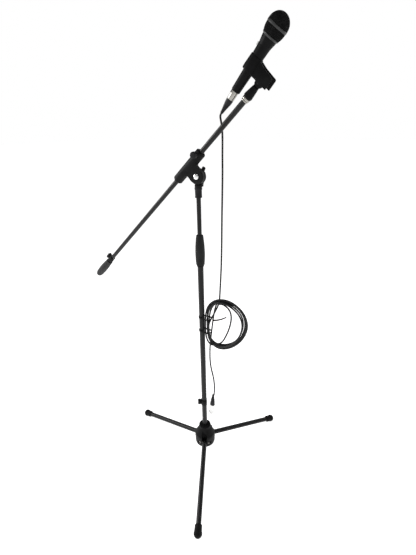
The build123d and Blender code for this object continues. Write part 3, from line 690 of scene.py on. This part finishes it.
def make_grip():
    low, high = (c.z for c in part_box("clutch_grip"))
    tall = high - low
    up = along((0, 0, low), (0, 0, 1))
    barrel = in_metres(curve_points(GRIP_BARREL, 190))
    profile = [*GRIP_FOOT, *barrel, GRIP_MOUTH, (tall, 0.0102), (tall, 0.0073), *GRIP_BORE]
    cells = knurl(14, 0.0072, 0.00042, 0.006, 0.094)

    def shape(angle, x, r):
        outside = r > 0.0136 or x > 0.07 and r > 0.0118
        return cells(angle, x, r) if outside else r

    piece = lathe("clutch_grip_net", up, profile, M["grip_rubber"], BODY_OF["clutch_grip"], 196,
                  closed=True, smooth=50, shape=shape)
    detail("clutch_grip", piece, "grip_rubber")


# (place along the boom, radius) of the counterweight in mm, from its front face to its rear end
WEIGHT = ((-547.6, 11.9), (-560, 12.7), (-580, 14.0), (-602, 14.6), (-622, 14.2), (-641, 12.8),
          (-650, 10.4), (-654, 7.2), (-655.7, 3.2), (-656, 0.0))
WEIGHT_BORE = [(-0.60, 0.0), (-0.60, 0.0072), (-0.547, 0.0072), (-0.547, 0.0113)]


def make_counterweight():
    profile = [*WEIGHT_BORE, *in_metres(curve_points(WEIGHT, 200))]
    cells = knurl(18, 0.0052, 0.00026, -0.648, -0.5515)

    def shape(angle, x, r):
        return cells(angle, x, r) if r > 0.0075 else r

    piece = lathe("counterweight_grained", BOOM, profile, M["weight_rubber"], BODY_OF["counterweight"],
                  180, smooth=50, shape=shape)
    detail("counterweight", piece, "grip_rubber")


THREAD_PITCH, THREAD_R, THREAD_DEPTH = 0.00094, 0.00785, 0.0006
ROWS_PER_PITCH = 6


def make_tip():
    """Plated insert: a plug in the tube, a collar, and a real helical thread to its tip."""
    low, high = reach("boom_tip", BOOM)
    rear, tip = low[0], high[0]
    front, start = rear + 0.016, rear + 0.0194
    body = [(rear, 0.0), (rear, 0.0061), (front, 0.0061), (front, 0.0089), (front + 0.0003, 0.0092),
            (front + 0.0027, 0.0092), (front + 0.003, 0.0089), (front + 0.003, 0.00725)]
    count = int((tip - 0.0006 - start) / THREAD_PITCH * ROWS_PER_PITCH)
    rows = [(start + i * THREAD_PITCH / ROWS_PER_PITCH, THREAD_R) for i in range(count)]
    end = rows[-1][0]
    profile = [*body, *rows, (end + 0.0002, 0.0071), (tip, 0.0066), (tip, 0.0)]

    def shape(angle, x, r):
        if r != THREAD_R:
            return r
        turn = (x / THREAD_PITCH - angle / TURN) % 1
        ease = min(1.0, (x - start) / THREAD_PITCH, (end - x) / THREAD_PITCH)
        return r - THREAD_DEPTH * (1 - abs(2 * turn - 1)) - THREAD_DEPTH * (1 - ease)

    piece = lathe("boom_tip_threaded", BOOM, profile, M["nickel"], BODY_OF["boom_tip"], 60,
                  smooth=60, shape=shape)
    detail("boom_tip", piece, "nickel")


SPRING_R, SPRING_WIRE, SPRING_TURNS, STEPS_PER_TURN = 0.0037, 0.0006, 4, 24
SPRING_ENDS = (0.0629, 0.0681)


def make_spring():
    """Torsion spring on the clip's pin, with a leg lying along each lever."""
    low, high = reach("clip_spring", MIC)
    z, r = (low[2] + high[2]) / 2, SPRING_R
    begin, end = SPRING_ENDS
    count = SPRING_TURNS * STEPS_PER_TURN + STEPS_PER_TURN // 2
    path = []
    for k in range(count + 1):
        a = TURN * k / STEPS_PER_TURN
        out = (0, math.cos(a), math.sin(a))
        path.append(((begin + (end - begin) * k / count, r * out[1], z + r * out[2]), out))
    first, last = path[0][0][0], path[-1][0][0]
    first_leg = [((first, r + 0.0002 * k, z - 0.0011 * k), (0, 1, 0)) for k in range(8, 0, -1)]
    last_leg = [((last, -r - 0.0002 * k, z - 0.0011 * k), (0, -1, 0)) for k in range(1, 9)]
    line = [*first_leg, *path, *last_leg]
    world = [(MIC @ Vector(p), MIC.to_3x3() @ Vector(n)) for p, n in line]
    piece = strands("clip_spring_coiled", [world], SPRING_WIRE, M["brushed"], BODY_OF["clip_spring"], 8)
    detail("clip_spring", piece, "spring_steel")


MESH_WIRE, MESH_PITCH = 0.00031, 0.00185
BALL_AT, BALL_R = 0.1593, 0.02535
# (place along the microphone, radius) in mm of the grille's cone under the band
CONE = np.array(((135.9, 21.25), (140, 22.9), (145, 24.25), (150, 24.85), (154.5, 25.05)))
CONE_LOW, CONE_HIGH, CONE_WIRES, CONE_STEPS, CONE_LEAN = 0.1359, 0.1545, 60, 44, 0.0235
FOAM_SKIRT = [(0.1362, 0.0186), (0.1362, 0.0202), (0.140, 0.0218), (0.145, 0.0231), (0.150, 0.02375),
              (0.1541, 0.0239), (0.1541, 0.0222), (0.145, 0.0214), (0.140, 0.0202)]


def weave_lift(sign, phase):
    """How far a wire rides over or under the ones it crosses."""
    return sign * math.cos(phase) * MESH_WIRE * 0.8


def on_mic(place, normal):
    return MIC @ place, MIC.to_3x3() @ normal


def dome_wires():
    """Two crossed sets of wires over the upper half of the ball."""
    quarter = BALL_R * math.pi / 2
    most = int(quarter / MESH_PITCH)
    paths = []
    for way in (0, 1):
        for i in range(-most, most + 1):
            p = i * MESH_PITCH
            half = math.sqrt(max(0.0, quarter**2 - p**2))
            count = int(2 * half / (MESH_PITCH / 4))
            if count < 4:
                continue
            path = []
            for k in range(count + 1):
                q = -half + 2 * half * k / count
                a, b = (p, q) if way else (q, p)
                polar, turn = math.hypot(a, b) / BALL_R, math.atan2(b, a)
                flat = math.sin(polar)
                n = Vector((math.cos(polar), flat * math.cos(turn), flat * math.sin(turn)))
                lift = weave_lift(1 if (i + way) % 2 else -1, math.pi * q / MESH_PITCH)
                path.append(on_mic(Vector((BALL_AT, 0, 0)) + n * (BALL_R + lift), n))
            paths.append(path)
    return paths


def cone_wires():
    """Wires that lean both ways round the cone under the band."""
    paths = []
    for way in (-1, 1):
        for i in range(CONE_WIRES):
            path = []
            for k in range(CONE_STEPS + 1):
                u = CONE_LOW + (CONE_HIGH - CONE_LOW) * k / CONE_STEPS
                lean = (u - CONE_LOW) / CONE_LEAN
                turn = way * lean + TURN * i / CONE_WIRES
                r = np.interp(u / MM, CONE[:, 0], CONE[:, 1]) * MM + weave_lift(way, lean * CONE_WIRES)
                n = Vector((0, math.cos(turn), math.sin(turn)))
                path.append(on_mic(Vector((u, n.y * r, n.z * r)), n))
            paths.append(path)
    return paths


def make_grille():
    dome = strands("grille_dome_woven", dome_wires(), MESH_WIRE, M["grille_paint"], "microphone")
    detail("grille_dome", dome, "grille_paint")
    skirt = lathe("head_foam_skirt", MIC, FOAM_SKIRT, M["foam"], "microphone", closed=True)
    cone = strands("grille_lower_woven", cone_wires(), MESH_WIRE, M["grille_paint"], "microphone")
    detail("grille_lower", cone, "grille_paint")


def strap(name, points, closed, width, thick, taper=1.0, look="strap"):
    """Flat ribbon along points in mm, its width upright, narrowing to taper times its width."""
    points = [Vector(p) * MM for p in points]
    rings, faces = [], []
    count = len(points)
    for i, p in enumerate(points):
        before = points[(i - 1) % count if closed else max(i - 1, 0)]
        after = points[(i + 1) % count if closed else min(i + 1, count - 1)]
        run = (after - before).normalized()
        side = run.cross(Vector((0, 0, 1))).normalized()
        rise = side.cross(run).normalized() * (width / 2 * (1 - (1 - taper) * i / (count - 1)))
        side = side * thick / 2
        rings += [p + rise + side, p + rise - side, p - rise - side, p - rise + side]
    for i in range(count if closed else count - 1):
        a, b = 4 * i, 4 * ((i + 1) % count)
        faces += [(a + k, a + (k + 1) % 4, b + (k + 1) % 4, b + k) for k in range(4)]
    if not closed:
        faces += [(3, 2, 1, 0), tuple(4 * (count - 1) + k for k in range(4))]
    mesh = mesh_of(name, rings, faces)
    join_doubles(mesh)
    piece = finish_mesh(name, mesh, M[look], "stand", 50)
    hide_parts("coil_ties")
    return piece


STRAP_WIDTH, STRAP_THICK = 0.0062, 0.0009
STRAP_HEIGHTS = (672, 618)
# corners of a strap's loop round the column and the coil's near side, in mm
STRAP_LOOP = ((-4, 11.9), (33, 11.9), (36, 7.5), (36, -7.5), (33, -11.9), (-4, -11.9),
              (-10.7, -5), (-10.7, 5))
# the strap's free end and the stiff wire in it, across the coil's opening, in mm
FREE_END = ((48, -9, 676), (56, -10, 679), (66, -12, 683.5), (76, -14, 689), (87, -16.5, 696),
            (98, -18, 704), (107, -19.5, 711))
FREE_WIRE = ((107, -19.5, 711), (113, -19.5, 716), (119, -18.5, 722), (125, -17, 729), (132, -15, 737))


def make_ties():
    """Two straps round the column and the coil's near side, and the free end of one."""
    for i, z in enumerate(STRAP_HEIGHTS, 1):
        loop = []
        for (x, y), (nx, ny) in zip(STRAP_LOOP, STRAP_LOOP[1:] + STRAP_LOOP[:1]):
            loop += [(x + (nx - x) * f, y + (ny - y) * f, z) for f in (0.15, 0.35, 0.5, 0.65, 0.85)]
        strap(f"coil_tie_{i}", loop, True, STRAP_WIDTH, STRAP_THICK)
    strap("coil_tie_end", FREE_END, False, STRAP_WIDTH, STRAP_THICK, 0.6, "strap_end")
    strap("coil_tie_wire", FREE_WIRE, False, 0.0011, 0.0007, 0.5, "tie_wire")


make_grip()
make_counterweight()
make_tip()
make_spring()
make_grille()
make_ties()
